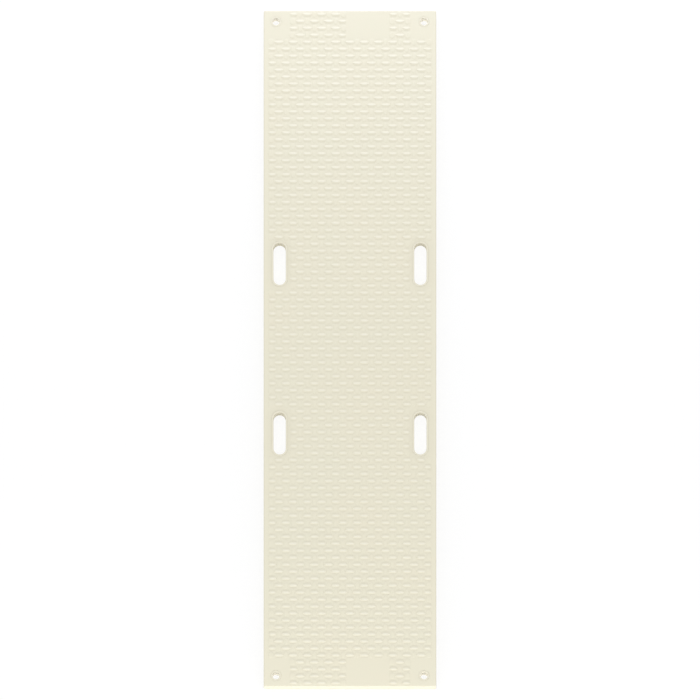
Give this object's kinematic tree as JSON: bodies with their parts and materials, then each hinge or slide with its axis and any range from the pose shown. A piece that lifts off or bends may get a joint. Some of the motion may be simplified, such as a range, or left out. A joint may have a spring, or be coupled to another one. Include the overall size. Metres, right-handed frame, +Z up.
{
  "type": "diving board",
  "caption": "Laminated springy plank with a basket-weave non-slip tread, round-ended hand slots along both sides and a flanged bolt sleeve in each corner.",
  "frame": {"origin": "middle of the underside", "axes": "+Z up out of the walking surface, +Y along the board towards the rear end, +X across it to the right"},
  "size_m": [0.457, 1.829, 0.038],
  "materials": {
    "shell_plastic": "semi-gloss moulded plastic, cream, with a raised basket-weave tread",
    "base_gelcoat": "smooth gelcoat, cream",
    "trim_plastic": "smooth moulded plastic, cream, slightly deeper than the shell",
    "glass_laminate": "resin-filled woven glass cloth, pale green",
    "core_timber": "planed softwood, grain along the board"
  },
  "bodies": {
    "root": {"tread_shell": "shell_plastic", "upper_glass_ply": "glass_laminate", "left_edge_lath": "core_timber", "right_edge_lath": "core_timber", "left_slot_stringer": "core_timber", "right_slot_stringer": "core_timber", "centre_stringer_1": "core_timber", "centre_stringer_2": "core_timber", "centre_stringer_3": "core_timber", "centre_stringer_4": "core_timber", "centre_stringer_5": "core_timber", "centre_stringer_6": "core_timber", "centre_stringer_7": "core_timber", "centre_stringer_8": "core_timber", "lower_glass_ply": "glass_laminate", "base_skin": "base_gelcoat", "sleeve_front_left": "trim_plastic", "sleeve_front_right": "trim_plastic", "sleeve_rear_left": "trim_plastic", "sleeve_rear_right": "trim_plastic", "slot_liner_front_left": "trim_plastic", "slot_liner_front_right": "trim_plastic", "slot_liner_rear_left": "trim_plastic", "slot_liner_rear_right": "trim_plastic"}
  },
  "joints": []
}
